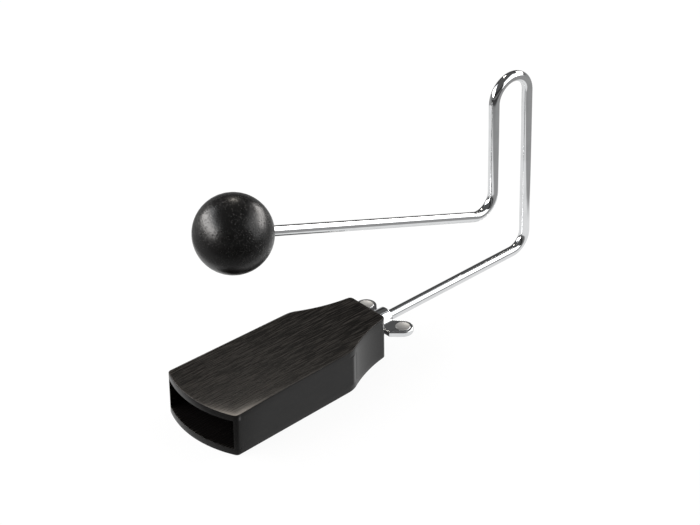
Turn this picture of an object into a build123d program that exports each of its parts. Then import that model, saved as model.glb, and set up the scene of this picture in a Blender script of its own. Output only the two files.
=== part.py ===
"""A vibraslap: a wooden sound box with a loose-pin rattle inside, on one end of a bent steel
rod, and a wooden striking ball on the rod's other end.

Millimetres. The origin is in the middle of the sound box's underside, +Z is up and +Y runs
along the box's axis from its open mouth to the neck where the rod is screwed in. The rod lies
in the plane x = 0.
"""

import os
from math import cos, radians, sin, tan

from build123d import *

# Sound box
BOX_LENGTH = 160.0  # from the mouth's corners to the neck's rear face
BOX_HEIGHT = 35.0
FRONT_WIDTH = 75.5
SHOULDER_WIDTH = 69.5
NECK_WIDTH = 38.0
FRONT_BULGE = 9.1  # how far the mouth's edge swells past its corners
SHOULDER_LENGTH = 46.0  # from the shoulder to the neck's rear face
SHOULDER_HOLLOW = 2.5  # depth of the concave curve from shoulder to neck
TOP_THICKNESS = 5.5
BOTTOM_THICKNESS = 5.5
SIDE_THICKNESS = 2.5
FRONT_CORNER_RADIUS = 3.5
SHOULDER_RADIUS = 25.0
NECK_CORNER_RADIUS = 3.5
EDGE_ROUNDING = 0.7
SHOULDER_BACKING = 2.0  # solid wood of the neck block ahead of the shoulder
SHELF_LENGTH = 20.0  # the step in the neck block that carries the tongue

# Threaded bush in the neck
BUSH_LENGTH = 30.0
BUSH_WALL = 2.0
THREAD_CLEARANCE = 0.05  # on the radius, for the bush and the wing nut

# Rod, whose heights are measured from its axis in the neck
ROD_DIAMETER = 8.0
ROD_END_GAP = 3.0  # between the rod's end and the bottom of the bush's hole
ROD_END_CHAMFER = 0.8
NECK_TO_LOOP = 163.0  # from the neck's rear face to the axis of the loop's rear leg
LOOP_WIDTH = 34.5  # between the axes of the loop's two legs
LOOP_RISE = 155.0  # of the loop's axis at its top
CORNER_RADIUS = 14.0
ELBOW_RADIUS = 15.0
ELBOW_RISE = 41.2  # of the point where the ball arm's axis meets the front leg's axis
ARM_ANGLE = 20.5  # degrees that the ball arm rises towards the front
ARM_LENGTH = 271.0  # from that meeting point to the ball's centre

# Ball
BALL_DIAMETER = 58.0
BALL_BORE_DEPTH = 32.0
BALL_BORE_GAP = 0.5  # between the rod's end and the bottom of the bore
GLUE_CLEARANCE = 0.05  # on the radius

# Wing nut and its washer, just slackened
WASHER_DIAMETER = 17.0
WASHER_THICKNESS = 1.5
WASHER_CLEARANCE = 0.1  # on the radius
SEAT_GAP = 0.1  # from the neck to the washer, and from the washer to the nut
HUB_DIAMETER = 17.0
HUB_LENGTH = 16.5
HUB_CHAMFER = 1.0
EAR_THICKNESS = 4.4
EAR_SETBACK = 1.8  # from the hub's front face to the ears' front edge
EAR_FRONT_WIDTH = 38.0  # across both ears' front edges
EAR_ROOT_LENGTH = 12.5  # of an ear along the hub
EAR_ROUNDING = 1.0
PADDLE_RADIUS = 8.0
PADDLE_SPACING = 40.1  # between the centres of the two paddles
PADDLE_SETBACK = 14.5  # from the hub's front face to the paddles' centres
MEDAL_INSET = 2.3  # from a paddle's rim to the plain raised disc on each of its faces
MEDAL_HEIGHT = 0.4

# Rattle: a steel tongue clamped on the neck block's shelf, with loose pins hung in its holes
TONGUE_THICKNESS = 2.0
TONGUE_SETBACK = 25.0  # from the mouth's corners to the tongue's free end
TONGUE_SIDE_GAP = 9.25  # to each side board, at the shoulder
TONGUE_CORNER_RADIUS = 8.0
PIN_DIAMETER = 5.0
PIN_HOLE_CLEARANCE = 0.3  # on the radius
PIN_HEAD_DIAMETER = 8.8
PIN_HEAD_HEIGHT = 3.0
PIN_HEAD_GAP = 1.2  # between the heads of neighbours in a row
PIN_SPACING = 24.0  # between the left and the right row
PIN_EDGE = 8.0  # from the tongue's free end to the first pins
PIN_SHELF_GAP = 1.5  # least gap from the last pins' heads to the shelf
PIN_FLOOR_GAP = 1.0  # between a hanging pin and the bottom board
PIN_ROUNDING = 0.8
CLAMP_BAR_MARGIN = 3.0  # of the shelf ahead of the bar, and behind it
CLAMP_BAR_THICKNESS = 3.0
SCREW_DIAMETER = 4.0
SCREW_CLEARANCE = 0.05  # on the radius, in the bar, the tongue and the shelf
SCREW_SPACING = 26.0
SCREW_TIP_MARGIN = 3.0  # wood left under the screws' tips
SCREW_HEAD_DIAMETER = 8.0
SCREW_HEAD_HEIGHT = 2.4

# Places and sizes that follow from those above
FRONT = -BOX_LENGTH / 2
REAR = BOX_LENGTH / 2
SHOULDER = REAR - SHOULDER_LENGTH
STEP = SHOULDER - SHOULDER_BACKING
SHELF_FRONT = STEP - SHELF_LENGTH
CEILING = BOX_HEIGHT - TOP_THICKNESS
AXIS_HEIGHT = BOX_HEIGHT / 2
BUSH_FRONT = REAR - BUSH_LENGTH
BUSH_RADIUS = ROD_DIAMETER / 2 + BUSH_WALL
THREAD_RADIUS = ROD_DIAMETER / 2 + THREAD_CLEARANCE
LOOP_REAR = REAR + NECK_TO_LOOP
LOOP_FRONT = LOOP_REAR - LOOP_WIDTH
ELBOW_HEIGHT = AXIS_HEIGHT + ELBOW_RISE
ARM_RUN = cos(radians(ARM_ANGLE))
ARM_CLIMB = sin(radians(ARM_ANGLE))
BALL_CENTRE = (0, LOOP_FRONT - ARM_LENGTH * ARM_RUN, ELBOW_HEIGHT + ARM_LENGTH * ARM_CLIMB)
WASHER_FRONT = REAR + SEAT_GAP
NUT_FRONT = WASHER_FRONT + WASHER_THICKNESS + SEAT_GAP
TONGUE_FRONT = FRONT + TONGUE_SETBACK
TONGUE_WIDTH = SHOULDER_WIDTH - 2 * SIDE_THICKNESS - 2 * TONGUE_SIDE_GAP
TONGUE_UNDERSIDE = AXIS_HEIGHT - TONGUE_THICKNESS / 2
TONGUE_TOP = AXIS_HEIGHT + TONGUE_THICKNESS / 2
PIN_PITCH = PIN_HEAD_DIAMETER + PIN_HEAD_GAP
PIN_FIRST = TONGUE_FRONT + PIN_EDGE
PIN_LAST = SHELF_FRONT - PIN_SHELF_GAP - PIN_HEAD_DIAMETER / 2
PIN_ROWS = 1 + int((PIN_LAST - PIN_FIRST) / PIN_PITCH)
CLAMP_CENTRE = STEP - SHELF_LENGTH / 2
CLAMP_TOP = TONGUE_TOP + CLAMP_BAR_THICKNESS
SCREW_TIP = BOTTOM_THICKNESS + SCREW_TIP_MARGIN

# Frames whose Z runs rearwards along the rod in the neck, and from the ball to the elbow
ROD_FRAME = Plane(origin=(0, 0, AXIS_HEIGHT), x_dir=(1, 0, 0), z_dir=(0, 1, 0))
ARM_FRAME = Plane(origin=BALL_CENTRE, x_dir=(1, 0, 0), z_dir=(0, ARM_RUN, -ARM_CLIMB))


def across(point):
    """The same point on the other side of the box's axis."""
    return (-point[0], point[1])


def box_outline():
    """The box in plan: a bulged mouth, tapered sides and hollow shoulders into a narrow neck."""
    front = (FRONT_WIDTH / 2, FRONT)
    shoulder = (SHOULDER_WIDTH / 2, SHOULDER)
    neck = (NECK_WIDTH / 2, REAR)
    with BuildSketch() as outline:
        with BuildLine():
            ThreePointArc(across(front), (0, FRONT - FRONT_BULGE), front)
            Line(front, shoulder)
            SagittaArc(shoulder, neck, SHOULDER_HOLLOW)
            Line(neck, across(neck))
            SagittaArc(across(neck), across(shoulder), SHOULDER_HOLLOW)
            Line(across(shoulder), across(front))
        make_face()
        front_corners, shoulders, neck_corners = outline.vertices().group_by(Axis.Y)
        fillet(front_corners, FRONT_CORNER_RADIUS)
        fillet(shoulders, SHOULDER_RADIUS)
        fillet(neck_corners, NECK_CORNER_RADIUS)
    return outline.sketch


def space_between_sides():
    """Prism between the inner faces of the two side boards, past the box at both ends."""
    taper = (FRONT_WIDTH - SHOULDER_WIDTH) / 2 / (SHOULDER - FRONT)
    wall_across = SIDE_THICKNESS * (1 + taper**2) ** 0.5
    low_end = FRONT - 2 * FRONT_BULGE
    high_end = REAR + FRONT_BULGE
    low = (FRONT_WIDTH / 2 - wall_across - taper * (low_end - FRONT), low_end)
    high = (FRONT_WIDTH / 2 - wall_across - taper * (high_end - FRONT), high_end)
    return extrude(make_face(Polyline(across(low), low, high, across(high), close=True)), BOX_HEIGHT)


def box_core(front, rear, top):
    """Wood that fills the box between its sides and boards, over a length and up to a height."""
    width = max(FRONT_WIDTH, SHOULDER_WIDTH)
    inside = Pos(0, 0, BOTTOM_THICKNESS) * extrude(box_outline(), CEILING - BOTTOM_THICKNESS)
    reach = Box(width, rear - front, top, align=(Align.CENTER, Align.MIN, Align.MIN))
    return inside & space_between_sides() & Pos(0, front, 0) * reach


def board(underside, thickness, outer_face):
    """A top or bottom board with the rim of its outer face rounded."""
    plank = Pos(0, 0, underside) * extrude(box_outline(), thickness)
    rim = plank.faces().sort_by(Axis.Z)[outer_face].edges()
    return fillet(rim, EDGE_ROUNDING)


def side_boards():
    """Left and right side boards, cut off slantwise by the shoulders."""
    walls = Pos(0, 0, BOTTOM_THICKNESS) * extrude(box_outline(), CEILING - BOTTOM_THICKNESS)
    return (walls - space_between_sides()).solids().sort_by(Axis.X)


def upright(radius, height):
    """Cylinder that stands on its own origin."""
    return Cylinder(radius, height, align=(Align.CENTER, Align.CENTER, Align.MIN))


def ring(outer_radius, inner_radius, thickness):
    """Washer-like ring that stands on its own origin."""
    return upright(outer_radius, thickness) - upright(inner_radius, thickness)


def neck_block():
    """Solid neck with the bush's blind hole behind and the tongue's shelf in front."""
    neck = box_core(STEP, REAR, BOX_HEIGHT)
    shelf = box_core(SHELF_FRONT, STEP, TONGUE_UNDERSIDE)
    hole = ROD_FRAME.offset(BUSH_FRONT) * upright(BUSH_RADIUS, BUSH_LENGTH)
    return neck + shelf - hole - screw_shanks(SCREW_CLEARANCE)


def threaded_bush():
    """Brass bush that the rod is screwed into."""
    return ROD_FRAME.offset(BUSH_FRONT) * ring(BUSH_RADIUS, THREAD_RADIUS, BUSH_LENGTH)


def rod():
    """One steel rod: out of the neck, up, over the loop, down, and along to the ball."""
    rod_start = BUSH_FRONT + ROD_END_GAP
    springing = AXIS_HEIGHT + LOOP_RISE - LOOP_WIDTH / 2
    elbow_turn = 90 + ARM_ANGLE
    elbow_start = ELBOW_HEIGHT + ELBOW_RADIUS * tan(radians(elbow_turn / 2))
    ball_end = BALL_DIAMETER / 2 - BALL_BORE_DEPTH + BALL_BORE_GAP
    with BuildLine(Plane.YZ) as path:
        neck_run = Line((rod_start, AXIS_HEIGHT), (LOOP_REAR - CORNER_RADIUS, AXIS_HEIGHT))
        corner = JernArc(neck_run @ 1, neck_run % 1, CORNER_RADIUS, 90)
        rear_leg = Line(corner @ 1, (LOOP_REAR, springing))
        loop = JernArc(rear_leg @ 1, rear_leg % 1, LOOP_WIDTH / 2, 180)
        front_leg = Line(loop @ 1, (LOOP_FRONT, elbow_start))
        elbow = JernArc(front_leg @ 1, front_leg % 1, ELBOW_RADIUS, -elbow_turn)
        Line(elbow @ 1, ARM_FRAME.offset(ball_end).origin)
    bar = sweep(ROD_FRAME.offset(rod_start) * Circle(ROD_DIAMETER / 2), path=path.line)
    neck_end = bar.faces().filter_by(Axis.Y).sort_by(Axis.Y)[0]
    return chamfer(neck_end.edges(), ROD_END_CHAMFER)


def ball():
    """Striking ball with the blind bore that the rod is glued into."""
    radius = BALL_DIAMETER / 2
    bore = upright(ROD_DIAMETER / 2 + GLUE_CLEARANCE, 2 * BALL_BORE_DEPTH)
    return ARM_FRAME * (Sphere(radius) - Pos(0, 0, radius - BALL_BORE_DEPTH) * bore)


def clamp_washer():
    """Plain washer between the neck and the wing nut."""
    washer = ring(WASHER_DIAMETER / 2, ROD_DIAMETER / 2 + WASHER_CLEARANCE, WASHER_THICKNESS)
    return ROD_FRAME.offset(WASHER_FRONT) * washer


def right_ear():
    """Flat ear, the hull of its root on the hub and its round paddle, with plain raised discs."""
    root_rear = EAR_SETBACK + EAR_ROOT_LENGTH
    front_edge = Line((0, EAR_SETBACK), (EAR_FRONT_WIDTH / 2, EAR_SETBACK))
    root_edge = Line((0, EAR_SETBACK), (HUB_DIAMETER / 2 - EAR_ROUNDING, root_rear))
    paddle = Pos(PADDLE_SPACING / 2, PADDLE_SETBACK) * Circle(PADDLE_RADIUS)
    outline = make_hull(front_edge.edges() + root_edge.edges() + paddle.edges())
    blade = extrude(outline, EAR_THICKNESS / 2, both=True)
    blade = fillet(blade.faces().filter_by(Axis.Z).edges(), EAR_ROUNDING)
    medals = Cylinder(PADDLE_RADIUS - MEDAL_INSET, EAR_THICKNESS + 2 * MEDAL_HEIGHT)
    return blade + Pos(PADDLE_SPACING / 2, PADDLE_SETBACK) * medals


def wing_nut():
    """Bored hub with two flared ears."""
    hub = upright(HUB_DIAMETER / 2, HUB_LENGTH)
    hub = chamfer(hub.edges().filter_by(GeomType.CIRCLE), HUB_CHAMFER)
    ear = Pos(0, NUT_FRONT, AXIS_HEIGHT) * right_ear()
    bore = upright(THREAD_RADIUS, HUB_LENGTH)
    nut = ROD_FRAME.offset(NUT_FRONT) * hub + ear + mirror(ear, about=Plane.YZ)
    return nut - ROD_FRAME.offset(NUT_FRONT) * bore


def pin_place(side, row):
    """Centre of a pin in plan: side is -1 or 1, and rows count from the tongue's free end."""
    return (side * PIN_SPACING / 2, PIN_FIRST + row * PIN_PITCH)


def rattle_pin(place):
    """Loose headed pin that hangs in its hole by the head, clear of the box's floor."""
    shank_length = TONGUE_TOP - BOTTOM_THICKNESS - PIN_FLOOR_GAP
    head = upright(PIN_HEAD_DIAMETER / 2, PIN_HEAD_HEIGHT)
    head = fillet(head.edges().sort_by(Axis.Z)[-1], PIN_ROUNDING)
    shank = Pos(0, 0, -shank_length) * upright(PIN_DIAMETER / 2, shank_length)
    shank = fillet(shank.edges().sort_by(Axis.Z)[0], PIN_ROUNDING)
    return Pos(*place, TONGUE_TOP) * (head + shank)


def rattle_tongue():
    """Steel strip with round corners at its free end and a hole for each pin."""
    size = (TONGUE_WIDTH, STEP - TONGUE_FRONT, TONGUE_THICKNESS)
    strip = Pos(0, TONGUE_FRONT, TONGUE_UNDERSIDE) * Box(*size, align=(Align.CENTER, Align.MIN, Align.MIN))
    free_corners = strip.edges().filter_by(Axis.Z).group_by(Axis.Y)[0]
    strip = fillet(free_corners, TONGUE_CORNER_RADIUS)
    hole = upright(PIN_DIAMETER / 2 + PIN_HOLE_CLEARANCE, TONGUE_THICKNESS)
    places = [pin_place(side, row) for side in (-1, 1) for row in range(PIN_ROWS)]
    return strip - [Pos(*place, TONGUE_UNDERSIDE) * hole for place in places] - screw_shanks(SCREW_CLEARANCE)


def clamp_bar():
    """Bar that presses the tongue's root on the shelf."""
    size = (TONGUE_WIDTH, SHELF_LENGTH - 2 * CLAMP_BAR_MARGIN, CLAMP_BAR_THICKNESS)
    bar = Box(*size, align=(Align.CENTER, Align.CENTER, Align.MIN))
    return Pos(0, CLAMP_CENTRE, TONGUE_TOP) * bar - screw_shanks(SCREW_CLEARANCE)


def screw_shanks(clearance):
    """The clamp screws' two shanks, or holes for them, through bar and tongue into the shelf."""
    radius = SCREW_DIAMETER / 2 + clearance
    shank = Pos(0, CLAMP_CENTRE, SCREW_TIP) * upright(radius, CLAMP_TOP - SCREW_TIP)
    return [Pos(side * SCREW_SPACING / 2, 0, 0) * shank for side in (-1, 1)]


def tongue_screws():
    """Two wood screws with low domed heads."""
    head = upright(SCREW_HEAD_DIAMETER / 2, SCREW_HEAD_HEIGHT)
    head = fillet(head.edges().sort_by(Axis.Z)[-1], SCREW_HEAD_HEIGHT / 2)
    heads = [Pos(side * SCREW_SPACING / 2, CLAMP_CENTRE, CLAMP_TOP) * head for side in (-1, 1)]
    return Compound([shank + top for shank, top in zip(screw_shanks(0), heads, strict=True)])


left_side, right_side = side_boards()
nodes = {
    "top_board": board(CEILING, TOP_THICKNESS, -1),
    "bottom_board": board(0, BOTTOM_THICKNESS, 0),
    "left_side": left_side,
    "right_side": right_side,
    "neck_block": neck_block(),
    "threaded_bush": threaded_bush(),
    "rattle_tongue": rattle_tongue(),
    "clamp_bar": clamp_bar(),
    "tongue_screws": tongue_screws(),
    "rod": rod(),
    "ball": ball(),
    "clamp_washer": clamp_washer(),
    "wing_nut": wing_nut(),
}
for row in range(PIN_ROWS):
    nodes[f"rattle_pin_left_{row + 1}"] = rattle_pin(pin_place(-1, row))
    nodes[f"rattle_pin_right_{row + 1}"] = rattle_pin(pin_place(1, row))

os.makedirs("parts", exist_ok=True)
for name, solid in nodes.items():
    export_step(solid, f"parts/{name}.step")
print(len(nodes), "nodes written")
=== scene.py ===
# %% [markdown]
# # A vibraslap
#
# A vibraslap is a rattle that is struck. A bent steel rod carries a wooden ball at one end and a
# wooden sound box at the other. When the ball is hit, the rod shakes the box and the loose pins
# inside it chatter. The CAD model gives every piece its place. This script gives the pieces that
# show a smooth surface and a finish, then sets them on a pale floor under soft light.

# %% Load the frame
import math

import bmesh
import bpy
import numpy as np
from mathutils import Matrix, Vector


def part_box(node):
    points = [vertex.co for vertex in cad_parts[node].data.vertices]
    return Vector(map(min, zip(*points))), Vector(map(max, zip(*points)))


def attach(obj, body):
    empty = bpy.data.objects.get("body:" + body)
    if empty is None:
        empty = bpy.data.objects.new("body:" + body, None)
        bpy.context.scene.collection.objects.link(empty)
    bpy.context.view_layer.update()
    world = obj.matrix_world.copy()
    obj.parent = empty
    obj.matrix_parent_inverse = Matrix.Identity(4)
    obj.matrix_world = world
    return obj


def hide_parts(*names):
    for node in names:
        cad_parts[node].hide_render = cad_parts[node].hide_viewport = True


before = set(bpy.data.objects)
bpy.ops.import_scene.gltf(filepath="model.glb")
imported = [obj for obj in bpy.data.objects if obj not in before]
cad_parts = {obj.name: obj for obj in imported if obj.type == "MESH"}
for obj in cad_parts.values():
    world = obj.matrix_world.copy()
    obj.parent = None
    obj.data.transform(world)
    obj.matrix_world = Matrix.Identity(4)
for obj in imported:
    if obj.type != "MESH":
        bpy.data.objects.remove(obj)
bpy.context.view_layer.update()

# %% [markdown]
# ## From grids of points to pieces
#
# Each new piece is one or more sheets, and a sheet is a grid of points worked out by a formula.
# Blender's own primitives would also give cylinders and spheres, but a grid lets one formula
# hold the whole shape, with its rounded rims. Sheets are in millimetres, as on a drawing, and
# the last step turns them into metres.

# %% Mesh helpers
MM = 0.001
MERGE = 1e-6


def quads(rows, columns, wrap):
    """Corner numbers of a grid's faces. Each face joins a point, the next one in its row and the
    two beside them in the next row. With wrap, each row closes on itself."""
    number = np.arange(rows * columns).reshape(rows, columns)
    if wrap:
        number = np.hstack([number, number[:, :1]])
    corners = [number[:-1, :-1], number[:-1, 1:], number[1:, 1:], number[1:, :-1]]
    return np.stack(corners, axis=-1).reshape(-1, 4)


def make_piece(name, sheets, material, body, *nodes, crease=32, masks=None):
    """One object from (points, wrap) sheets, riding on a body in place of CAD nodes. Points that
    coincide are merged, which closes seams and poles, and faces are turned outwards. Edges that
    turn by more than crease degrees stay sharp. Each mask is a formula of the points, kept as an
    attribute that the finish can read."""
    points = [sheet.reshape(-1, 3) for sheet, wrap in sheets]
    firsts = np.cumsum([0] + [len(p) for p in points[:-1]])
    faces = [quads(*sheet.shape[:2], wrap) + first for (sheet, wrap), first in zip(sheets, firsts)]
    mesh = bpy.data.meshes.new(name)
    mesh.from_pydata(np.concatenate(points) * MM, [], np.concatenate(faces))
    shape = bmesh.new()
    shape.from_mesh(mesh)
    bmesh.ops.remove_doubles(shape, verts=shape.verts, dist=MERGE)
    bmesh.ops.recalc_face_normals(shape, faces=shape.faces)
    shape.to_mesh(mesh)
    shape.free()
    mesh.shade_smooth()
    mesh.set_sharp_from_angle(angle=math.radians(crease))
    mesh.materials.append(material)
    merged = np.empty(3 * len(mesh.vertices), dtype=np.float32)
    mesh.vertices.foreach_get("co", merged)
    for mask, formula in (masks or {}).items():
        values = formula(merged.reshape(-1, 3) / MM).astype(np.float32)
        mesh.attributes.new(mask, "FLOAT", "POINT").data.foreach_set("value", values)
    piece = bpy.data.objects.new(name, mesh)
    bpy.context.scene.collection.objects.link(piece)
    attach(piece, body)
    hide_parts(*nodes)
    print(f"{name}: {len(mesh.polygons)} faces")
    return piece


def node_box(node):
    """Lowest and highest corner of a CAD node, in millimetres."""
    low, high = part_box(node)
    return np.array(low) / MM, np.array(high) / MM


# %% [markdown]
# ## Node groups for the finishes
#
# Two effects turn up in more than one finish, so each is a node group. Wood has open pores, fine
# dashes along the board that take less stain. Everything that is handled has faint smudges and
# hairlines, which change how sharp its reflections are but hardly its colour.

# %% Node helpers
def add(tree, kind, links=None, **settings):
    """A new node of a kind, with inputs filled from links (sockets or plain values by name) and
    properties from settings."""
    made = tree.nodes.new(kind)
    for key, value in settings.items():
        setattr(made, key, value)
    for key, value in (links or {}).items():
        if isinstance(value, bpy.types.NodeSocket):
            tree.links.new(value, made.inputs[key])
        else:
            made.inputs[key].default_value = value
    return made


def new_group(name, inputs, outputs):
    """An empty shader node group with named sockets: (tree, its input node, its output node)."""
    tree = bpy.data.node_groups.new(name, "ShaderNodeTree")
    for socket, kind, value in inputs:
        made = tree.interface.new_socket(socket, in_out="INPUT", socket_type=kind)
        if value is not None:
            made.default_value = value
    for socket in outputs:
        tree.interface.new_socket(socket, in_out="OUTPUT", socket_type="NodeSocketFloat")
    return tree, tree.nodes.new("NodeGroupInput"), tree.nodes.new("NodeGroupOutput")


def stretched(tree, vector, scales):
    """Coordinates multiplied by a number for each axis: a small one draws a pattern out."""
    links = {0: vector, 1: scales}
    return add(tree, "ShaderNodeVectorMath", links, operation="MULTIPLY").outputs[0]


def noise(tree, vector, scale, detail=2.0, roughness=0.5):
    """Soft random values from 0 to 1, about 0.5 on average."""
    links = {"Vector": vector, "Scale": scale, "Detail": detail, "Roughness": roughness}
    return add(tree, "ShaderNodeTexNoise", links).outputs["Fac"]


def ramp(tree, value, low, high, to_low=0.0, to_high=1.0):
    """A value carried from one range to another with soft ends, and held there."""
    links = {"Value": value, 1: low, 2: high, 3: to_low, 4: to_high}
    return add(tree, "ShaderNodeMapRange", links, interpolation_type="SMOOTHSTEP").outputs[0]


def arithmetic(tree, operation, a, b):
    """One sum on two values or sockets."""
    return add(tree, "ShaderNodeMath", {0: a, 1: b}, operation=operation).outputs[0]


# %% Wood grain group
grain_inputs = [("Vector", "NodeSocketVector", None), ("Fibre Width", "NodeSocketFloat", 0.0008)]
grain_group, grain_in, grain_out = new_group("wood grain", grain_inputs, ["Fibres", "Figure", "Height"])
FIBRE_DRAW, FIGURE_DRAW = (1.0, 0.05, 1.0), (1.0, 0.03, 1.0)
fibre_way = stretched(grain_group, grain_in.outputs["Vector"], FIBRE_DRAW)
fibre_scale = arithmetic(grain_group, "DIVIDE", 1.0, grain_in.outputs["Fibre Width"])
fibre_noise = noise(grain_group, fibre_way, fibre_scale, detail=2.0, roughness=0.6)
fibres = ramp(grain_group, fibre_noise, 0.42, 0.72)
figure_way = stretched(grain_group, grain_in.outputs["Vector"], FIGURE_DRAW)
figure = noise(grain_group, figure_way, 160.0, detail=3.0, roughness=0.6)
height = arithmetic(grain_group, "ADD", fibre_noise, arithmetic(grain_group, "MULTIPLY", figure, 0.5))
grain_group.links.new(fibres, grain_out.inputs["Fibres"])
grain_group.links.new(figure, grain_out.inputs["Figure"])
grain_group.links.new(height, grain_out.inputs["Height"])
print("wood grain group:", len(grain_group.nodes), "nodes")

# %% Handling group
handling_inputs = [("Vector", "NodeSocketVector", None), ("Size", "NodeSocketFloat", 60.0)]
handling_group, handling_in, handling_out = new_group("handling", handling_inputs, ["Smudges", "Hairlines"])
smudge_noise = noise(handling_group, handling_in.outputs["Vector"], handling_in.outputs["Size"], detail=3.0)
handling_group.links.new(ramp(handling_group, smudge_noise, 0.4, 0.75), handling_out.inputs["Smudges"])
hair_vector = stretched(handling_group, handling_in.outputs["Vector"], (1.0, 0.05, 0.35))
hair_noise = noise(handling_group, hair_vector, 2600.0, detail=1.0)
handling_group.links.new(ramp(handling_group, hair_noise, 0.6, 0.8), handling_out.inputs["Hairlines"])
print("handling group:", len(handling_group.nodes), "nodes")

# %% [markdown]
# ## Finishes
#
# The box is open-grained wood under a thin black stain. Its flat faces are less sealed than its
# sides and edges, so the same recipe is used twice. The ball is wood under more lacquer, and the
# metal is chromed steel, plain steel and brass. A photo texture could hold the grain, but formulas
# stay sharp at any size. Each finish is one Principled shader. Its even values sit on the shader's
# own sockets, and only what changes over the surface comes from nodes.

# %% Material helpers
def new_finish(name, **even):
    """A material with its node tree, its Principled shader and its Object coordinates."""
    material = bpy.data.materials.new(name)
    material.use_nodes = True
    tree = material.node_tree
    shader = tree.nodes["Principled BSDF"]
    for socket, value in even.items():
        shader.inputs[socket.replace("_", " ")].default_value = value
    coordinates = tree.nodes.new("ShaderNodeTexCoord").outputs["Object"]
    return material, tree, shader, coordinates


def use_group(tree, group, **links):
    """A group placed in a material, with its inputs filled."""
    placed = add(tree, "ShaderNodeGroup", node_tree=group)
    for socket, value in links.items():
        key = socket.replace("_", " ")
        if isinstance(value, bpy.types.NodeSocket):
            tree.links.new(value, placed.inputs[key])
        else:
            placed.inputs[key].default_value = value
    return placed.outputs


def blend_colours(tree, share, first, second):
    """A colour between two others by a share from 0 to 1."""
    made = add(tree, "ShaderNodeMix", data_type="RGBA")
    tree.links.new(share, made.inputs["Factor"])
    for socket, colour in ((made.inputs[6], first), (made.inputs[7], second)):
        if isinstance(colour, bpy.types.NodeSocket):
            tree.links.new(colour, socket)
        else:
            socket.default_value = (*colour, 1.0)
    return made.outputs[2]


def bump(tree, shader, height, depth, strength=1.0):
    """Small relief on a surface, depth metres from 0 to 1 of height."""
    made = add(tree, "ShaderNodeBump", {"Height": height, "Distance": depth, "Strength": strength})
    tree.links.new(made.outputs["Normal"], shader.inputs["Normal"])


# %% Black stained wood
STAIN_DARK, STAIN_LIGHT = (0.0008, 0.0007, 0.0006), (0.0024, 0.0021, 0.0019)
# The pale second colour below is painted light: a sheen, a highlight, at the top's right front corner, and
# a thin lighter line along the top's rim.
FIBRE_COLOUR, RIM_LINE_AND_SHEEN_COLOUR = (0.022, 0.0195, 0.0174), (0.26, 0.237, 0.211)
# Painted shade: the colour of the inside of the box, where little light reaches.
INSIDE_SHADE_COLOUR = (0.0030, 0.0026, 0.0025)
SEALED, OPEN_FIBRE, SMUDGED = 0.195, 0.33, 0.02
GRAIN_DEPTH = 0.00011


def stained_wood(name, specular, open_grain):
    """Black stain over grain. Roughness goes from SEALED to OPEN_FIBRE along the fibres, plus a
    little for smudges, plus open_grain on faces that lie flat. Faces that stand up show less
    grain. The mask hollow paints shade inside the box. The other mask paints a thin lighter line
    along the top's rim and a sheen, a painted highlight, at its right front corner."""
    finish, tree, shader, place = new_finish(name, Specular_IOR_Level=specular)
    grain = use_group(tree, grain_group, Vector=place)
    touch = use_group(tree, handling_group, Vector=place, Size=45.0)
    normal = add(tree, "ShaderNodeTexCoord").outputs["Normal"]
    facing = add(tree, "ShaderNodeSeparateXYZ", {0: normal}).outputs["Z"]
    flat = arithmetic(tree, "ABSOLUTE", facing, 0.0)
    sanded_across = ramp(tree, flat, 0.4, 0.8, 0.25, 1.0)
    hollow = add(tree, "ShaderNodeAttribute", attribute_name="hollow").outputs["Fac"]
    wear_and_sheen = add(tree, "ShaderNodeAttribute", attribute_name="wear_and_sheen").outputs["Fac"]
    stain = blend_colours(tree, grain["Figure"], STAIN_DARK, STAIN_LIGHT)
    fibre_share = arithmetic(tree, "MULTIPLY", grain["Fibres"], sanded_across)
    grained = blend_colours(tree, fibre_share, stain, FIBRE_COLOUR)
    # Painted highlight: a pale sheen at the top's right front corner, with a thin lighter line along the
    # rim.
    rim_and_sheen_share = arithmetic(tree, "MULTIPLY", wear_and_sheen, ramp(tree, facing, 0.5, 0.9))
    rim_and_sheen_colour = blend_colours(tree, rim_and_sheen_share, grained, RIM_LINE_AND_SHEEN_COLOUR)
    # Painted shade: the inside of the box goes to an even near black.
    colour = blend_colours(tree, hollow, rim_and_sheen_colour, INSIDE_SHADE_COLOUR)
    tree.links.new(colour, shader.inputs["Base Color"])
    smudge = arithmetic(tree, "MULTIPLY", touch["Smudges"], SMUDGED)
    matt = arithmetic(tree, "ADD", ramp(tree, fibre_share, 0.0, 1.0, SEALED, OPEN_FIBRE), smudge)
    sheen = arithmetic(tree, "ADD", matt, ramp(tree, flat, 0.9, 1.0, 0.0, open_grain))
    tree.links.new(sheen, shader.inputs["Roughness"])
    relief = arithmetic(tree, "MULTIPLY", grain["Height"], sanded_across)
    bump(tree, shader, relief, GRAIN_DEPTH, 0.7)
    print(name + ":", len(tree.nodes), "nodes")
    return finish


black_wood = stained_wood("black_wood", 0.32, 0.0)
black_board = stained_wood("black_wood.board", 0.19, 0.05)

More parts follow.
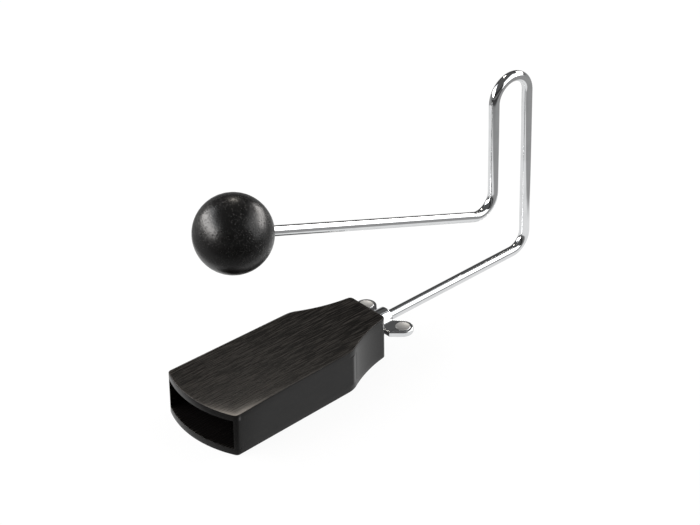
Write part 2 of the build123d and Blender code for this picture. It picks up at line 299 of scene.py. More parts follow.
# %% Black lacquer on the ball
LACQUER, SPECK = (0.0040, 0.0038, 0.0037), (0.014, 0.0133, 0.0128)
LACQUER_ROUGH, BALL_SMUDGED, PEEL_DEPTH = 0.27, 0.07, 0.00014
black_ball, tree, shader, place = new_finish("black_ball", Specular_IOR_Level=0.5)
touch = use_group(tree, handling_group, Vector=place, Size=70.0)
patches = ramp(tree, noise(tree, place, 35.0, detail=1.0), 0.34, 0.54)
dimples = ramp(tree, noise(tree, place, 750.0, detail=2.0), 0.55, 0.68)
specks = arithmetic(tree, "MULTIPLY", dimples, patches)
colour = blend_colours(tree, specks, LACQUER, SPECK)
tree.links.new(colour, shader.inputs["Base Color"])
matt = arithmetic(tree, "ADD", arithmetic(tree, "MULTIPLY", touch["Smudges"], BALL_SMUDGED), LACQUER_ROUGH)
tree.links.new(matt, shader.inputs["Roughness"])
peel = arithmetic(tree, "ADD", noise(tree, place, 420.0), arithmetic(tree, "MULTIPLY", specks, -1.0))
bump(tree, shader, peel, PEEL_DEPTH, 0.8)
print("black_ball:", len(tree.nodes), "nodes")

# %% Metals
SATIN = 0.3


def metal(name, bright, wear_and_sheen, polish, dulled, hairline_depth):
    """A metal finish: colour and roughness go from bright and polish to worn and dulled where it
    was handled, over fine hairlines. Where a piece has the mask satin, it is rougher."""
    material, tree, shader, place = new_finish(name, Metallic=1.0)
    touch = use_group(tree, handling_group, Vector=place, Size=90.0)
    tree.links.new(blend_colours(tree, touch["Smudges"], bright, wear_and_sheen), shader.inputs["Base Color"])
    satin = add(tree, "ShaderNodeAttribute", attribute_name="satin").outputs["Fac"]
    polished = ramp(tree, touch["Smudges"], 0.0, 1.0, polish, dulled)
    matt = arithmetic(tree, "ADD", polished, arithmetic(tree, "MULTIPLY", satin, SATIN))
    tree.links.new(matt, shader.inputs["Roughness"])
    bump(tree, shader, touch["Hairlines"], hairline_depth, 0.3)
    print(name + ":", len(tree.nodes), "nodes")
    return material


chrome = metal("chrome", (0.86, 0.87, 0.88), (0.80, 0.81, 0.82), 0.045, 0.09, 0.000002)
steel = metal("steel", (0.50, 0.50, 0.49), (0.40, 0.39, 0.38), 0.28, 0.42, 0.00001)
brass = metal("brass", (0.72, 0.52, 0.24), (0.58, 0.41, 0.19), 0.25, 0.4, 0.000008)

# %% [markdown]
# ## Sound box in plan
#
# Top, bottom and sides are all cut by one outline: a swollen mouth, sides that taper a little and
# hollow shoulders down to the neck. It is made of straight runs and arcs, so its points and its
# outward normals come from the same formulas, and a rim can be set back along the normals.

# %% Arcs, runs and roundings
def arc(centre, start, end, steps, hollow=False):
    """Points on a circle about centre from start to just before end, the short way round, and
    normals away from centre, or towards it for a hollow edge."""
    first, last = (math.atan2(*(p - centre)[::-1]) for p in (start, end))
    sweep = (last - first + math.pi) % (2 * math.pi) - math.pi
    turn = first + sweep * np.arange(steps) / steps
    outward = np.stack([np.cos(turn), np.sin(turn)], axis=-1)
    return centre + np.linalg.norm(start - centre) * outward, -outward if hollow else outward


def run(start, end, steps):
    """Points on a straight edge from start to just before end, with normals to its right."""
    along = (end - start) / np.linalg.norm(end - start)
    points = start + np.outer(np.arange(steps) / steps, end - start)
    return points, np.tile([along[1], -along[0]], (steps, 1))


def rounding_centre(corner, normal, radius, curve_centre, reach):
    """Centre of a rounding: radius inside the straight edge through corner, and reach from the
    centre of the curve that meets it. Of the two such points, the one near the corner."""
    start = corner - radius * normal
    along = np.array([-normal[1], normal[0]])
    offset = start - curve_centre
    middle = -offset @ along
    half = math.sqrt(middle**2 - offset @ offset + reach**2)
    found = start + np.outer([middle - half, middle + half], along)
    return found[np.argmin(np.linalg.norm(found - corner, axis=1))]


def toward(start, target, distance):
    """The point at a distance from start in the direction of target."""
    return start + distance * (target - start) / np.linalg.norm(target - start)


# %% The outline
BOX_FRONT, BOX_REAR, BOX_HEIGHT = -80.0, 80.0, 35.0
BULGE, HOLLOW = 9.1, 2.5
FRONT_ROUND, NECK_ROUND = 3.5, 3.5
BOARD_SHOULDER, WALL_SHOULDER = 20.0, 6.0
front = np.array([37.75, BOX_FRONT])
shoulder = np.array([34.75, 34.0])
neck = np.array([19.0, BOX_REAR])
apex = np.array([0.0, BOX_FRONT - BULGE])
rear_middle = np.array([0.0, BOX_REAR])

bulge_radius = (front[0] ** 2 + BULGE**2) / (2 * BULGE)
bulge_centre = apex + (0, bulge_radius)
side_normal = np.array([shoulder[1] - front[1], front[0] - shoulder[0]])
side_normal /= np.linalg.norm(side_normal)
chord = neck - shoulder
half_chord = np.linalg.norm(chord) / 2
hollow_radius = (half_chord**2 + HOLLOW**2) / (2 * HOLLOW)
chord_normal = np.array([chord[1], -chord[0]]) / (2 * half_chord)
hollow_centre = (shoulder + neck) / 2 + chord_normal * (hollow_radius - HOLLOW)

front_centre = rounding_centre(front, side_normal, FRONT_ROUND, bulge_centre, bulge_radius - FRONT_ROUND)
rear_normal = np.array([0.0, 1.0])
neck_centre = rounding_centre(neck, rear_normal, NECK_ROUND, hollow_centre, hollow_radius + NECK_ROUND)


def half_outline(shoulder_round):
    """Points and normals of the right half from the front's middle to the rear's, with a given
    rounding where the straight side meets the hollow shoulder."""
    reach = hollow_radius + shoulder_round
    shoulder_centre = rounding_centre(shoulder, side_normal, shoulder_round, hollow_centre, reach)
    stops = [
        apex,
        toward(bulge_centre, front_centre, bulge_radius),
        front_centre + FRONT_ROUND * side_normal,
        shoulder_centre + shoulder_round * side_normal,
        toward(hollow_centre, shoulder_centre, hollow_radius),
        toward(hollow_centre, neck_centre, hollow_radius),
        neck_centre + NECK_ROUND * rear_normal,
        rear_middle,
    ]
    runs = [
        arc(bulge_centre, stops[0], stops[1], 36),
        arc(front_centre, stops[1], stops[2], 10),
        run(stops[2], stops[3], 48),
        arc(shoulder_centre, stops[3], stops[4], 16),
        arc(hollow_centre, stops[4], stops[5], 24, hollow=True),
        arc(neck_centre, stops[5], stops[6], 10),
        run(stops[6], stops[7], 6),
    ]
    points = np.concatenate([points for points, normals in runs] + [[rear_middle]])
    return points, np.concatenate([normals for points, normals in runs] + [[rear_normal]])


def both_sides(half):
    """Plan vectors of the right half, front to rear, followed by the left half, rear to front."""
    return np.concatenate([half, half[-2:0:-1] * (-1, 1)])


half_points, half_normals = half_outline(BOARD_SHOULDER)
wall_points = half_outline(WALL_SHOULDER)[0]
outline = both_sides(half_points)
outline_normals = both_sides(half_normals)
print("outline:", len(outline), "points")

# %% [markdown]
# ## Boards of the box
#
# A board is a slab whose rim is rounded. One row of points runs round the outline at each step
# of the way from the middle of the underside, out to the rim, up over it and back to the middle
# of the top. A bevel modifier could round the rim too, but here the rounding can change along
# the edge: the outer rim is rounded all the way, and the inner one only at the mouth, where the
# wood is broken with sandpaper. The right front corner of the top is worn down a little further,
# and a sheen is painted there as a pale colour, a painted highlight. A thin lighter line runs
# along the top's rim. The edges are sealed like the side boards and get that finish.

# %% Slab with a rounded rim
FACE_SHARES = np.array([0.0, 0.03, 0.08, 0.16, 0.3, 0.6, 1.0])


def slab(edge, normals, spine, low, high, low_round, high_round):
    """Closed slab over a plan outline. On a rim of radius r, the row at angle a lies r(1 - sin a)
    inside the outline and r(1 - cos a) from its face. From there the faces go straight to the
    spine, a line of inner points with one partner for each outline point."""
    turn = np.radians(np.linspace(0, 90, 7))[:, None]

    def rim(radius, face, inward):
        inset = (1 - np.sin(turn)) * np.asarray(radius)
        level = face + inward * (1 - np.cos(turn)) * np.asarray(radius) * np.ones(len(edge))
        return np.dstack([edge - inset[..., None] * normals, level])

    def cover(row):
        middle = np.column_stack([spine, row[:, 2]])
        return row + FACE_SHARES[:, None, None] * (middle - row)

    lower, upper = rim(low_round, low, 1), rim(high_round, high, -1)
    return np.concatenate([cover(lower[0])[:0:-1], lower, upper[::-1], cover(upper[0])[1:]])


# %% Top and bottom boards
BOARD, SIDE, STEP = 5.5, 2.5, 32.0
CEILING = BOX_HEIGHT - BOARD
taper = (front[0] - shoulder[0]) / (shoulder[1] - front[1])
inner_front = front[0] - SIDE * math.hypot(1, taper)
EDGE_ROUND, MOUTH_ROUND = 0.7, 0.4
SAND_DEPTH, SAND_IN, SAND_ALONG = 0.35, 2.8, 19.0
# The first number below is a thin lighter line along the top's rim, and the third is that line's width. The
# second paints a sheen, a highlight, at the right front corner.
RIM_LINE, CORNER_SHEEN, RIM_LINE_WIDTH = 0.12, 0.8, 0.8
SKIN = 0.01
MOUTH_BARE, MOUTH_FADE = 0.5, 2.0
at_mouth = np.clip((front[1] + 2 - outline[:, 1]) / 4, 0, 1)
mouth_round = MOUTH_ROUND * at_mouth
SPINE_END = 10.0
spine_along = np.clip(outline[:, 1], BOX_FRONT, BOX_REAR - SPINE_END)
axis_spine = np.column_stack([np.zeros(len(outline)), spine_along])


def inner_face(y):
    """Half width of the space between the side boards at y."""
    return inner_front - taper * (y - BOX_FRONT)


def edge_distance(points):
    """Distance in plan from each point to the outline: the least one to its straight pieces."""
    ways = np.roll(outline, -1, axis=0) - outline
    offsets = points[:, None, :2] - outline
    shares = np.clip((offsets * ways).sum(-1) / (ways**2).sum(-1), 0, 1)
    return np.linalg.norm(offsets - shares[..., None] * ways, axis=-1).min(axis=1)


def near_corner(points):
    """Share that falls off smoothly with the distance in plan from the right front corner."""
    apart = np.hypot(points[:, 0] - front[0], points[:, 1] - front[1])
    return np.exp(-((apart / SAND_ALONG) ** 2))


def painted_shade_inside(points):
    """Share of painted shade inside the box: full on the inner faces, none at the mouth's edge."""
    mouth_edge = bulge_centre[1] - np.sqrt(bulge_radius**2 - points[:, 0] ** 2)
    between_sides = np.abs(points[:, 0]) < inner_face(points[:, 1]) + SKIN
    between_boards = (points[:, 2] > BOARD - SKIN) & (points[:, 2] < CEILING + SKIN)
    behind_mouth = np.clip((points[:, 1] - mouth_edge - MOUTH_BARE) / MOUTH_FADE, 0, 1)
    return between_sides * between_boards * behind_mouth * (points[:, 1] < STEP + 1)


def rim_line_and_painted_sheen(points):
    """Share of a lighter colour on the top: a thin line along the rim, and a sheen, a painted
    highlight, that is strongest at the right front corner.
    """
    on_top = np.clip((points[:, 2] - CEILING - BOARD / 2) / 2, 0, 1)
    apart = edge_distance(points)
    rim = RIM_LINE * np.exp(-apart / RIM_LINE_WIDTH)
    return on_top * (rim + CORNER_SHEEN * np.exp(-apart / SAND_IN) * near_corner(points))


# Painted shade inside the box, and a painted sheen at the top's right front corner with a thin lighter line
# along the rim.
wood_masks = {"hollow": painted_shade_inside, "wear_and_sheen": rim_line_and_painted_sheen}
top = slab(outline, outline_normals, axis_spine, CEILING, BOX_HEIGHT, mouth_round, EDGE_ROUND)
top_points = top.reshape(-1, 3)
over_rim = np.clip((top_points[:, 2] - (BOX_HEIGHT - 2 * EDGE_ROUND)) / EDGE_ROUND, 0, 1)
worn_down = np.exp(-edge_distance(top_points) / SAND_IN) * near_corner(top_points)
top_points[:, 2] -= SAND_DEPTH * worn_down * over_rim
box_top = make_piece("box_top", [(top, True)], black_board, "sound_box", "top_board", masks=wood_masks)

bottom = slab(outline, outline_normals, axis_spine, 0.0, BOARD, EDGE_ROUND, mouth_round)
box_bottom = make_piece("box_bottom", [(bottom, True)], black_board, "sound_box", "bottom_board",
                        masks=wood_masks)


def seal_edges(board):
    """Faces that stand within 45 degrees of upright get the side boards' smoother finish."""
    board.data.materials.append(black_wood)
    faces = board.data.polygons
    normals = np.empty(3 * len(faces), dtype=np.float32)
    faces.foreach_get("normal", normals)
    standing = np.abs(normals.reshape(-1, 3)[:, 2]) < math.sqrt(0.5)
    faces.foreach_set("material_index", standing.astype(np.int32))
    print(board.name, "sealed faces:", standing.sum())


seal_edges(box_top)
seal_edges(box_bottom)

# %% [markdown]
# ## Sides and neck
#
# The side boards stand between the top and the bottom. Their inner faces are straight, so a side
# is the outline wherever it lies outside that straight line. Each outline point gets a partner on
# the line, and the section from one to the other, carried along the outline, is the board. The
# neck block fills what is left behind the shoulders, with a step in front for the rattle and a
# hole behind for the bush.

# %% Side boards
outside = wall_points[:, 0] - inner_face(wall_points[:, 1])
enters, leaves = np.flatnonzero(np.diff(np.sign(outside)))
shares = [outside[i] / (outside[i] - outside[i + 1]) for i in (enters, leaves)]
mouth_end, shoulder_end = (
    wall_points[i] + share * (wall_points[i + 1] - wall_points[i])
    for i, share in zip((enters, leaves), shares)
)
side_edge = np.vstack([mouth_end, wall_points[enters + 1 : leaves + 1], shoulder_end])
side_partner = np.column_stack([inner_face(side_edge[:, 1]), side_edge[:, 1]])


def upright(plan, level):
    """Plan points lifted to a level."""
    return np.column_stack([plan, np.full(len(plan), level)])


levels = [(side_edge, BOARD), (side_edge, CEILING), (side_partner, CEILING), (side_partner, BOARD)]
right_side = np.stack([upright(plan, level) for plan, level in levels], axis=1)
for name, node, side in (("box_right", "right_side", 1), ("box_left", "left_side", -1)):
    make_piece(name, [(right_side * (side, 1, 1), True)], black_wood, "sound_box", node, masks=wood_masks)

# %% Neck block
SHELF = 12.0
AXIS = BOX_HEIGHT / 2
TONGUE_UNDERSIDE = 16.5
BUSH_FRONT, BUSH_RADIUS = 50.0, 6.0
rear_count = 7
neck_half = np.vstack([(inner_face(STEP), STEP), shoulder_end, wall_points[leaves + 1 :]])
neck_edge = np.vstack([neck_half, neck_half[-2::-1] * (-1, 1)])
heights = np.linspace(BOARD, CEILING, 9)
wall_half = neck_half[: 1 - rear_count]
walls = [
    np.stack([upright(wall_half * (side, 1), height) for height in heights]) for side in (1, -1)
]
neck_front = np.column_stack([neck_edge[:, 0], np.full(len(neck_edge), STEP)])
caps = [np.stack([upright(neck_edge, z), upright(neck_front, z)]) for z in (BOARD, CEILING)]

rear_x = neck_edge[np.isclose(neck_edge[:, 1], BOX_REAR), 0]
rim_x = np.concatenate([rear_x, np.full(8, rear_x[-1]), rear_x[-2::-1], np.full(7, rear_x[0])])
rim_z = np.concatenate([
    np.full(len(rear_x), CEILING), heights[-2::-1], np.full(len(rear_x) - 1, BOARD), heights[1:-1],
])
angle = np.arctan2(rim_z - AXIS, rim_x)
hole_x, hole_z = BUSH_RADIUS * np.cos(angle), AXIS + BUSH_RADIUS * np.sin(angle)


def at_depth(x, z, y):
    """Points across the box at one depth."""
    return np.column_stack([x, np.full(len(x), y), z])


rear_face = np.stack([
    at_depth(rim_x, rim_z, BOX_REAR),
    at_depth(hole_x, hole_z, BOX_REAR),
    at_depth(hole_x, hole_z, BUSH_FRONT),
    at_depth(0 * hole_x, 0 * hole_z + AXIS, BUSH_FRONT),
])
step_profile = np.array([
    (STEP, CEILING), (STEP, TONGUE_UNDERSIDE), (SHELF, TONGUE_UNDERSIDE), (SHELF, BOARD), (STEP, BOARD),
])
step_half = inner_face(step_profile[:, 0])
step_face = np.stack([np.column_stack([side * step_half, step_profile]) for side in (-1, 1)], axis=1)
shelf_sides = [step_face[[1, 2, 4, 3], i].reshape(2, 2, 3) for i in (0, 1)]
neck_sheets = [(sheet, False) for sheet in [*walls, *caps, step_face, *shelf_sides]] + [(rear_face, True)]
make_piece("box_neck", neck_sheets, black_wood, "sound_box", "neck_block", masks=wood_masks)

# %% [markdown]
# ## Rod
#
# The rod is one bar of round steel, bent cold: out of the neck, up, over a loop, down and along to
# the ball. It lies in one plane, so the circle that is carried along it never twists: one of its
# axes stays across the plane and the other is the path's own normal. A bevelled curve object would
# do the same, but a mesh made here has even rows in the bends, where chrome shows every flat.

# %% Path of the rod
ROD_RADIUS = 3.985
ROD_START, ROD_CHAMFER = 53.0, 0.8
LOOP_REAR, LOOP_WIDTH, LOOP_TOP = 243.0, 34.5, 172.5
CORNER_ROUND, ELBOW_ROUND = 14.0, 15.0
ELBOW_HEIGHT, ARM_ANGLE = 58.7, math.radians(20.5)
BALL_END = 2.5
ball_low, ball_high = node_box("ball")
ball_centre = (ball_low + ball_high) / 2
ball_radius = (ball_high[2] - ball_low[2]) / 2

arm_way = np.array([math.cos(ARM_ANGLE), -math.sin(ARM_ANGLE)])
loop_front = LOOP_REAR - LOOP_WIDTH
springing = LOOP_TOP - LOOP_WIDTH / 2
elbow_set = ELBOW_ROUND * math.tan((math.pi / 2 + ARM_ANGLE) / 2)
elbow_corner = np.array([loop_front, ELBOW_HEIGHT])
elbow_top = elbow_corner + (0, elbow_set)
elbow_low = elbow_corner - elbow_set * arm_way
rod_stops = [np.array(p) for p in (
    (ROD_START, AXIS), (LOOP_REAR - CORNER_ROUND, AXIS), (LOOP_REAR, AXIS + CORNER_ROUND),
    (LOOP_REAR, springing), (loop_front + LOOP_WIDTH / 2, LOOP_TOP), (loop_front, springing),
    elbow_top, elbow_low, ball_centre[1:] - BALL_END * arm_way,
)]
loop_centre = np.array([LOOP_REAR - LOOP_WIDTH / 2, springing])
rod_runs = [
    run(rod_stops[0], rod_stops[1], 24),
    arc(rod_stops[1] + (0, CORNER_ROUND), rod_stops[1], rod_stops[2], 24),
    run(rod_stops[2], rod_stops[3], 16),
    arc(loop_centre, rod_stops[3], rod_stops[4], 28),
    arc(loop_centre, rod_stops[4], rod_stops[5], 28),
    run(rod_stops[5], rod_stops[6], 10),
    arc(elbow_top - (ELBOW_ROUND, 0), rod_stops[6], rod_stops[7], 30, hollow=True),
    run(rod_stops[7], rod_stops[8], 32),
]
rod_path = np.concatenate([points for points, normals in rod_runs] + [rod_stops[-1:]])
rod_normals = np.concatenate([normals for points, normals in rod_runs] + [rod_runs[-1][1][-1:]])
print("rod path:", len(rod_path), "points")

# %% Rod surface
turns = np.linspace(0, 2 * math.pi, 48, endpoint=False)


def tube(path, normals, radii):
    """A circle of the given radius at each point of a path in the plane x = 0: the point, plus
    radius times cos t across the plane and sin t along the path's normal."""
    across = radii[:, None] * np.cos(turns)
    out = radii[:, None] * np.sin(turns)
    return np.dstack([across, path[:, :1] + out * normals[:, :1], path[:, 1:] + out * normals[:, 1:]])


ends = [np.repeat(rod_path[:1], 2, axis=0), rod_path[:1] + (ROD_CHAMFER, 0), rod_path[1:], rod_path[-1:]]
end_normals = np.concatenate([rod_normals[[0, 0, 0]], rod_normals[1:], rod_normals[-1:]])
radii = np.full(len(end_normals), ROD_RADIUS)
radii[[0, 1, -1]] = 0, ROD_RADIUS - ROD_CHAMFER, 0
bent_rod = tube(np.concatenate(ends), end_normals, radii)
make_piece("bent_rod", [(bent_rod, True)], chrome, "striker", "rod")

# %% [markdown]
# ## Ball, washer and pins
#
# All of these are turned on a lathe or stamped round: a profile goes round an axis. Blender's
# sphere and cylinder would need cuts for the bores and rims, and a profile holds them from the
# start. The ball's axis is the rod's arm, so that its bore is in the profile too.

# %% Turned pieces
def turned(profile, origin, axis, side):
    """A profile of (radius, distance along axis) taken round an axis: origin, plus the distance
    along it, plus radius times cos t to one side and sin t to the other."""
    origin, axis, side = (np.array(v, float) for v in (origin, axis, side))
    radius, along = np.array(profile, float).T
    ring = np.cos(turns)[:, None] * side + np.sin(turns)[:, None] * np.cross(axis, side)
    return origin + along[:, None, None] * axis + radius[:, None, None] * ring


def quarter(centre, radius, start, steps=6):
    """A quarter circle of a profile, anticlockwise from start degrees."""
    turn = np.radians(np.linspace(start, start + 90, steps))
    return np.column_stack([centre[0] + radius * np.cos(turn), centre[1] + radius * np.sin(turn)])


# %% Ball
BORE_RADIUS, BORE_FLOOR, BORE_BREAK = 4.05, -3.0, 0.35
rim_angle = math.asin((BORE_RADIUS + BORE_BREAK) / ball_radius)
sphere = np.linspace(rim_angle, math.pi, 72)
rim_height = ball_radius * math.cos(rim_angle)
ball_profile = np.vstack([
    (0, BORE_FLOOR), (BORE_RADIUS, BORE_FLOOR), (BORE_RADIUS, rim_height - BORE_BREAK),
    np.column_stack([ball_radius * np.sin(sphere), ball_radius * np.cos(sphere)]),
])
arm_axis = (0.0, *arm_way)
strike_ball = turned(ball_profile, ball_centre, arm_axis, (1, 0, 0))
make_piece("strike_ball", [(strike_ball, True)], black_ball, "striker", "ball")

# %% Washer
washer_low, washer_high = node_box("clamp_washer")
washer_radius = (washer_high[0] - washer_low[0]) / 2
washer_thick = washer_high[1] - washer_low[1]
WASHER_BREAK = 0.2
washer_bore = ROD_RADIUS + 0.1
washer_profile = np.vstack([
    (washer_bore, 0), quarter((washer_radius - WASHER_BREAK, WASHER_BREAK), WASHER_BREAK, -90),
    quarter((washer_radius - WASHER_BREAK, washer_thick - WASHER_BREAK), WASHER_BREAK, 0),
    (washer_bore, washer_thick), (washer_bore, 0),
])
washer_ring = turned(washer_profile, (0, washer_low[1], AXIS), (0, 1, 0), (1, 0, 0))
make_piece("washer_ring", [(washer_ring, True)], chrome, "washer", "clamp_washer")

# %% Loose pins
PIN_RADIUS, PIN_BREAK, PIN_HEAD = 2.5, 0.8, 3.0
pin_nodes = sorted(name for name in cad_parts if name.startswith("rattle_pin"))
for node in pin_nodes:
    pin_low, pin_high = node_box(node)
    head_radius = (pin_high[0] - pin_low[0]) / 2
    length = pin_high[2] - pin_low[2]
    pin_profile = np.vstack([
        (0, 0), quarter((PIN_RADIUS - PIN_BREAK, PIN_BREAK), PIN_BREAK, -90),
        (PIN_RADIUS, length - PIN_HEAD), (head_radius, length - PIN_HEAD),
        quarter((head_radius - PIN_BREAK, length - PIN_BREAK), PIN_BREAK, 0), (0, length),
    ])
    foot = (*(pin_low + pin_high)[:2] / 2, pin_low[2])
    pin = turned(pin_profile, foot, (0, 0, 1), (1, 0, 0))
    make_piece(node.replace("rattle", "loose"), [(pin, True)], steel, node, node)

# %% [markdown]
# ## Wing nut
#
# The nut is cast in one piece and chromed: a round hub and two flat ears that flare out to round
# paddles. An ear is another slab with a rounded rim. Where it meets the hub, its faces swell in a
# fillet that touches the hub's own round, so the two read as one casting. A boolean union of the
# three would leave a hard line there. On each face of a paddle lies a plain raised disc, a little
# dished and left satin.

# %% Hub
nut_low, nut_high = node_box("wing_nut")
nut_front = nut_low[1]
HUB_RADIUS, HUB_LENGTH, HUB_BREAK = 8.5, 16.5, 1.0
BORE = 4.05
hub_profile = np.vstack([
    (BORE, 0), quarter((HUB_RADIUS - HUB_BREAK, HUB_BREAK), HUB_BREAK, -90),
    quarter((HUB_RADIUS - HUB_BREAK, HUB_LENGTH - HUB_BREAK), HUB_BREAK, 0),
    (BORE, HUB_LENGTH), (BORE, 0),
])
hub = turned(hub_profile, (0, nut_front, AXIS), (0, 1, 0), (1, 0, 0))

# %% Ear outline
EAR_HALF, EAR_ROUND = 2.2, 1.0
EAR_SETBACK, EAR_ROOT, EAR_FRONT_HALF = 1.8, 12.5, 19.0
PADDLE_RADIUS = 8.0
paddle = np.array([20.05, 14.5])
front_root, front_tip = np.array([4.5, EAR_SETBACK]), np.array([EAR_FRONT_HALF, EAR_SETBACK])
rear_tip = np.array([HUB_RADIUS - EAR_ROUND, EAR_SETBACK + EAR_ROOT])


def touch_point(outer, side):
    """Where a line from an outer point touches the paddle's circle, on one side of it."""
    away = outer - paddle
    swing = math.acos(PADDLE_RADIUS / np.linalg.norm(away))
    turn = math.atan2(away[1], away[0]) + side * swing
    return paddle + PADDLE_RADIUS * np.array([math.cos(turn), math.sin(turn)])


front_touch, rear_touch = touch_point(front_tip, 1), touch_point(rear_tip, -1)
tip = paddle + (PADDLE_RADIUS, 0)
ear_runs = [
    run(front_root, front_tip, 40),
    run(front_tip, front_touch, 6),
    arc(paddle, front_touch, tip, 16),
    arc(paddle, tip, paddle + (0, PADDLE_RADIUS), 16),
    arc(paddle, paddle + (0, PADDLE_RADIUS), rear_touch, 10),
    run(rear_touch, rear_tip, 16),
    run(rear_tip, front_root, 20),
]
ear_edge = np.concatenate([points for points, normals in ear_runs])
ear_normals = np.concatenate([normals for points, normals in ear_runs])
spine_x = np.clip(ear_edge[:, 0], front_root[0] + EAR_ROUND, paddle[0])
spine_y = np.interp(spine_x, [rear_tip[0], paddle[0]], [EAR_SETBACK + EAR_ROOT / 2, paddle[1]])

# %% Ears and discs
FILLET = 2.5
DISC_RADIUS, DISC_RISE = 5.7, 0.4
DISH_RADIUS, DISH_DEPTH = 5.2, 0.25
ear_spine = np.column_stack([spine_x, spine_y])
ear = slab(ear_edge, ear_normals, ear_spine, -EAR_HALF, EAR_HALF, EAR_ROUND, EAR_ROUND)
fillet_x = math.sqrt((HUB_RADIUS + FILLET) ** 2 - (EAR_HALF + FILLET) ** 2)
short = np.clip(fillet_x - ear[..., 0], 0, FILLET * 0.98)
ear[..., 2] += np.sign(ear[..., 2]) * (FILLET - np.sqrt(FILLET**2 - short**2))
half_disc = EAR_HALF + DISC_RISE
dish = np.linspace(0, 1, 12)
upper_face = np.vstack([
    np.column_stack([DISH_RADIUS * dish, half_disc - DISH_DEPTH * (1 - dish**2)]),
    (DISC_RADIUS - 0.2, half_disc), (DISC_RADIUS, half_disc - DISC_RISE - 0.1),
])
disc_profile = np.vstack([upper_face * (1, -1), upper_face[::-1]])
disc = turned(disc_profile, (*paddle, 0), (0, 0, 1), (1, 0, 0))
nut_place = np.array([0, nut_front, AXIS])
ear_sheets = [(sheet * (side, 1, 1) + nut_place, True) for side in (1, -1) for sheet in (ear, disc)]


def on_disc(points):
    """One on the raised discs of the paddles, none elsewhere."""
    apart = np.hypot(np.abs(points[:, 0]) - paddle[0], points[:, 1] - nut_front - paddle[1])
    return (apart < DISC_RADIUS - 0.1) & (np.abs(points[:, 2] - AXIS) > EAR_HALF + 0.05)


nut_sheets = [(hub, True), *ear_sheets]
make_piece("cast_wing_nut", nut_sheets, chrome, "wing_nut", "wing_nut", masks={"satin": on_disc})

# %% [markdown]
# ## CAD nodes that stay
#
# The rattle's tongue, its bar and screws, and the bush in the neck are flat or hidden, so the CAD
# solids stay as they are and only take a finish.

# %% Finishes on CAD nodes
kept = {"rattle_tongue": steel, "clamp_bar": steel, "tongue_screws": steel, "threaded_bush": brass}
for node, finish in kept.items():
    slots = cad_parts[node].material_slots
    for slot in slots:
        slot.material = finish
    print(node, "takes", finish.name)

# %% [markdown]
# ## Floor, light and camera
#
# The camera sees a white studio: a pale floor that keeps a faint shadow, and a white world.
# Reflections are shown something else, fitted to the lines on the real chrome: a pool of light
# painted on the floor round the instrument, with painted shade toward the camera, and a dim room
# that is lightest at the horizon. A window at the front left, with a fainter part over it, and one
# behind on the right give the ball its two tall highlights, with a low strip behind. A small warm
# lamp behind on the left gives the sheen on the box. One white surround for camera and
# reflections alike would be simpler.

# %% Floor
FLOOR_HALF, FLOOR_DROP = 6.0, 0.0002
POOL_CENTRE, POOL_HALF = (-0.085, 0.123, 0.0), (0.215, 0.255, 1.0)
POOL_EDGE, POOL_TO_ROOM = (0.90, 1.06), (0.78, 0.27)
NEAR_WAY, NEAR_REACH, NEAR_SHARE = (0.745, -0.667, 0.0), (0.06, 0.32), 0.12
CAMERA_SHARE, MIRROR_SHARE = 0.92, 0.97
floor_mesh = bpy.data.meshes.new("floor")
floor_corners = np.array([(-1, -1), (1, -1), (1, 1), (-1, 1)]) * FLOOR_HALF
floor_mesh.from_pydata(upright(floor_corners, -FLOOR_DROP), [], [(0, 1, 2, 3)])
floor = bpy.data.objects.new("floor", floor_mesh)
bpy.context.scene.collection.objects.link(floor)
paper = bpy.data.materials.new("paper")
paper.use_nodes = True
tree = paper.node_tree
tree.nodes.clear()
seen = add(tree, "ShaderNodeLightPath")
lit = add(tree, "ShaderNodeBsdfDiffuse", {"Color": (0.9, 0.9, 0.9, 1.0)})
glow = add(tree, "ShaderNodeEmission", {"Color": (1.0, 1.0, 1.0, 1.0), "Strength": 1.0})
sheet_place = add(tree, "ShaderNodeTexCoord").outputs["Object"]


def vector_sum(operation, output, *vectors):
    """One sum on vectors in the floor's material, and the output asked for."""
    return add(tree, "ShaderNodeVectorMath", dict(enumerate(vectors)), operation=operation).outputs[output]


# Painted light, seen only in reflections: the floor glows as a pool of light round the instrument, with
# painted shade toward the camera.
from_pool = vector_sum("SUBTRACT", "Vector", sheet_place, POOL_CENTRE)
pool_reach = vector_sum("LENGTH", "Value", vector_sum("DIVIDE", "Vector", from_pool, POOL_HALF))
nearness = vector_sum("DOT_PRODUCT", "Value", sheet_place, NEAR_WAY)
near_dark = ramp(tree, nearness, *NEAR_REACH, 1.0, NEAR_SHARE)
pool_light = arithmetic(tree, "MULTIPLY", ramp(tree, pool_reach, *POOL_EDGE, *POOL_TO_ROOM), near_dark)
dim_glow = add(tree, "ShaderNodeEmission", {"Strength": pool_light})
for_camera = arithmetic(tree, "MULTIPLY", seen.outputs["Is Camera Ray"], CAMERA_SHARE)
for_mirrors = arithmetic(tree, "MULTIPLY", seen.outputs["Is Glossy Ray"], MIRROR_SHARE)
whitened = add(tree, "ShaderNodeMixShader", {0: for_camera, 1: lit.outputs[0], 2: glow.outputs[0]})
mixed = add(tree, "ShaderNodeMixShader", {0: for_mirrors, 1: whitened.outputs[0], 2: dim_glow.outputs[0]})
add(tree, "ShaderNodeOutputMaterial", {"Surface": mixed.outputs[0]})
floor_mesh.materials.append(paper)
print("floor:", 2 * FLOOR_HALF, "m across")

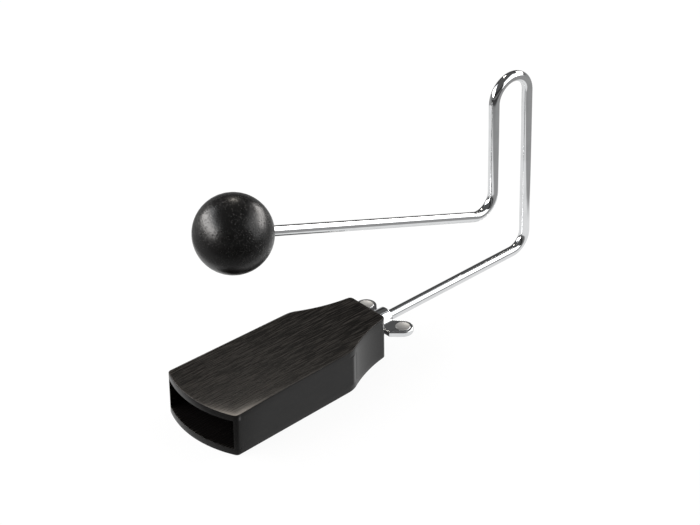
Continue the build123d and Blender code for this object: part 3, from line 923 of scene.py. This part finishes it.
# %% World
AMBIENT = 0.3
world = bpy.data.worlds.new("studio")
bpy.context.scene.world = world
world.use_nodes = True
tree = world.node_tree
tree.nodes.clear()
seen = add(tree, "ShaderNodeLightPath")
sky_way = add(tree, "ShaderNodeTexCoord").outputs["Generated"]
sky_height = add(tree, "ShaderNodeSeparateXYZ", {0: sky_way}).outputs["Z"]
horizon = ramp(tree, sky_height, 0.0, 0.3, 0.18, 0.03)
room = arithmetic(tree, "ADD", horizon, ramp(tree, sky_height, 0.42, 0.58, 0.0, 0.06))
mirrored = arithmetic(tree, "MAXIMUM", seen.outputs["Is Glossy Ray"], seen.outputs["Is Transmission Ray"])
soft = add(tree, "ShaderNodeMix", {0: mirrored, 2: AMBIENT, 3: room}).outputs[0]
strength = add(tree, "ShaderNodeMix", {0: seen.outputs["Is Camera Ray"], 2: soft, 3: 1.0}).outputs[0]
backdrop = add(tree, "ShaderNodeBackground", {"Color": (1.0, 1.0, 1.0, 1.0), "Strength": strength})
add(tree, "ShaderNodeOutputWorld", {"Surface": backdrop.outputs[0]})
print("world:", len(tree.nodes), "nodes")

# %% Soft lights
def soft_light(name, way, distance, size, power, colour=(1.0, 1.0, 1.0)):
    """A rectangular light, width by height in metres, that looks at the ball from a direction."""
    lamp = bpy.data.lights.new(name, "AREA")
    lamp.shape = "RECTANGLE"
    lamp.size, lamp.size_y = size
    lamp.energy, lamp.color = power, colour
    holder = bpy.data.objects.new(name, lamp)
    target = Vector(ball_centre * MM)
    way = Vector(way).normalized()
    holder.location = target + way * distance
    holder.rotation_mode = "QUATERNION"
    holder.rotation_quaternion = way.to_track_quat("Z", "Y")
    bpy.context.scene.collection.objects.link(holder)
    print(f"{name}: {power} W")


WARM, COOL, LAMP = (1.0, 0.965, 0.94), (0.94, 0.97, 1.0), (1.0, 0.94, 0.85)
soft_light("window_left", (-0.620, -0.680, 0.385), 0.9, (1.35, 0.34), 13.0, WARM)
soft_light("window_left_fade", (-0.580, -0.600, 0.550), 0.9, (1.2, 0.45), 3.5, COOL)
soft_light("window_right", (0.63, 0.66, 0.40), 0.9, (0.9, 0.8), 3.4)
soft_light("window_rear", (0.20, 0.93, 0.30), 0.9, (0.85, 0.30), 5.4, WARM)
soft_light("lamp_behind", (-0.56, 0.52, 0.64), 0.8, (0.12, 0.12), 0.5, LAMP)

# %% Camera
IMAGE_WIDTH = 700
FOCAL_PIXELS = 3000.27
AZIMUTH, ELEVATION, ROLL = math.radians(48.171), math.radians(32.952), math.radians(-0.907)
DISTANCE = 2328.361
look_at = Vector((-93.724, 146.679, 0.0))
level = math.cos(ELEVATION)
back = Vector((math.sin(AZIMUTH) * level, -math.cos(AZIMUTH) * level, math.sin(ELEVATION)))
camera_data = bpy.data.cameras.new("camera")
camera_data.sensor_width = 36.0
camera_data.lens = FOCAL_PIXELS / IMAGE_WIDTH * camera_data.sensor_width
camera = bpy.data.objects.new("camera", camera_data)
camera.location = (look_at + back * DISTANCE) * MM
camera.rotation_mode = "QUATERNION"
roll = Matrix.Rotation(ROLL, 3, "Z").to_quaternion()
camera.rotation_quaternion = (-back).to_track_quat("-Z", "Y") @ roll
bpy.context.scene.collection.objects.link(camera)
bpy.context.scene.camera = camera
bpy.context.scene.view_settings.view_transform = "Standard"
print("camera lens, mm:", round(camera_data.lens, 2))
